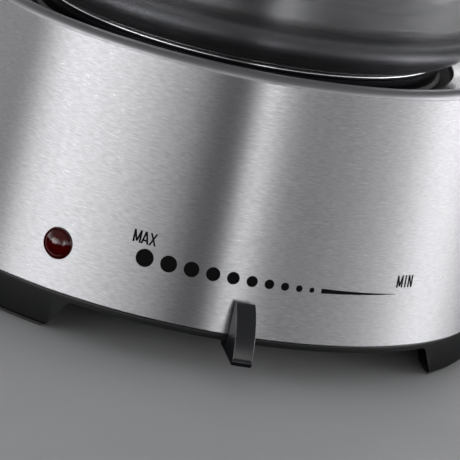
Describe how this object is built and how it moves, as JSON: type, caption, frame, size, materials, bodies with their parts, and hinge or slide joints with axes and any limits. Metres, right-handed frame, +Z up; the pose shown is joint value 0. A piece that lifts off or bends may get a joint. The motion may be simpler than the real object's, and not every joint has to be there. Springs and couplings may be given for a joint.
{
  "type": "siphon coffee maker",
  "caption": "Electric siphon coffee maker: steel heater base with a thermostat lever and pilot light, steel lower vessel, glass funnel, cloth filter and lid.",
  "frame": {"origin": "on the axis of the heater base, at the height of the table it stands on", "axes": "+Z up, front of the base with the lever faces -Y, vessel handle points to +X"},
  "size_m": [0.191, 0.1741, 0.3373],
  "materials": {
    "brushed_housing": "fine brushing round the wall, polished dish",
    "black_plastic": "satin moulded",
    "black_rubber": "matt",
    "plated_sheet": "zinc plated",
    "plain_steel": "bright",
    "plate_iron": "black enamelled, matt",
    "sheath_steel": "heat-stained sheath",
    "reflector_aluminium": "bright rolled sheet",
    "ceramic": "unglazed ceramic",
    "contact_brass": "plain",
    "lead_silicone": "silicone insulation",
    "red_lens": "clear red, glossy",
    "lamp_glass": "clear",
    "inlet_plastic": "satin moulded",
    "smoked_plastic": "smoked, slightly clear at its edges",
    "vessel_steel": "satin polished",
    "polished_band": "polished stainless steel",
    "handle_plastic": "satin moulded",
    "clear_glass": "clear borosilicate",
    "grey_silicone": "matt silicone",
    "cotton_cloth": "napped cotton flannel"
  },
  "bodies": {
    "base": {"housing_shell": "brushed_housing", "foot_ring": "black_plastic", "antislip_strip": "black_rubber", "bottom_cover": "plated_sheet", "foot_screws": "plain_steel", "cover_screws": "plain_steel", "tie_rods": "plain_steel", "tie_rod_nuts": "plain_steel", "hotplate": "plate_iron", "plate_seal": "black_rubber", "heating_element": "sheath_steel", "heat_reflector": "reflector_aluminium", "thermostat_body": "ceramic", "thermostat_bracket": "plated_sheet", "bracket_screws": "plain_steel", "spindle_guide": "ceramic", "thermal_fuse": "contact_brass", "fuse_clip": "plated_sheet", "terminal_block": "ceramic", "terminal_screws": "contact_brass", "internal_leads": "lead_silicone", "pilot_lens": "red_lens", "pilot_holder": "black_plastic", "pilot_lamp": "lamp_glass", "inlet_housing": "inlet_plastic", "inlet_pins": "contact_brass", "inlet_surround": "inlet_plastic", "inlet_screws": "plain_steel"},
    "lever": {"thermostat_spindle": "plain_steel", "lever_arm": "plated_sheet", "lever_grip": "smoked_plastic", "lever_screw": "plain_steel"},
    "carafe": {"vessel_body": "vessel_steel", "sandwich_base": "vessel_steel", "handle_band": "polished_band", "handle": "handle_plastic", "handle_screw": "plain_steel", "handle_nut": "plain_steel"},
    "funnel": {"funnel_bowl": "clear_glass", "riser_tube": "polished_band", "seal_gasket": "grey_silicone", "funnel_collar": "handle_plastic"},
    "filter": {"filter_disc": "plain_steel", "filter_cloth": "cotton_cloth", "filter_stud": "plain_steel", "filter_nut": "plain_steel", "filter_spring": "plain_steel", "filter_chain": "plain_steel", "filter_hook": "plain_steel"},
    "lid": {"lid_cover": "handle_plastic", "lid_seal": "grey_silicone", "lid_knob": "handle_plastic", "lid_screw": "plain_steel"}
  },
  "joints": [
    {"name": "lever_turn", "type": "hinge", "parent": "base", "child": "lever", "pos_m": [0, 0, 0.005], "axis": [0, 0, 1], "range_deg": [-19.5, 31]},
    {"name": "carafe_lift", "type": "slide", "parent": "base", "child": "carafe", "axis": [0, 0, 1], "range_m": [0, 0.1]},
    {"name": "funnel_lift", "type": "slide", "parent": "carafe", "child": "funnel", "axis": [0, 0, 1], "range_m": [0, 0.12]},
    {"name": "lid_lift", "type": "slide", "parent": "funnel", "child": "lid", "axis": [0, 0, 1], "range_m": [0, 0.3]},
    {"name": "filter_lift", "type": "slide", "parent": "funnel", "child": "filter", "axis": [0, 0, 1], "range_m": [0, 0.24]}
  ],
  "couplings": [
    {"joint": "filter_lift", "follows": "lid_lift", "ratio": 0.8}
  ]
}
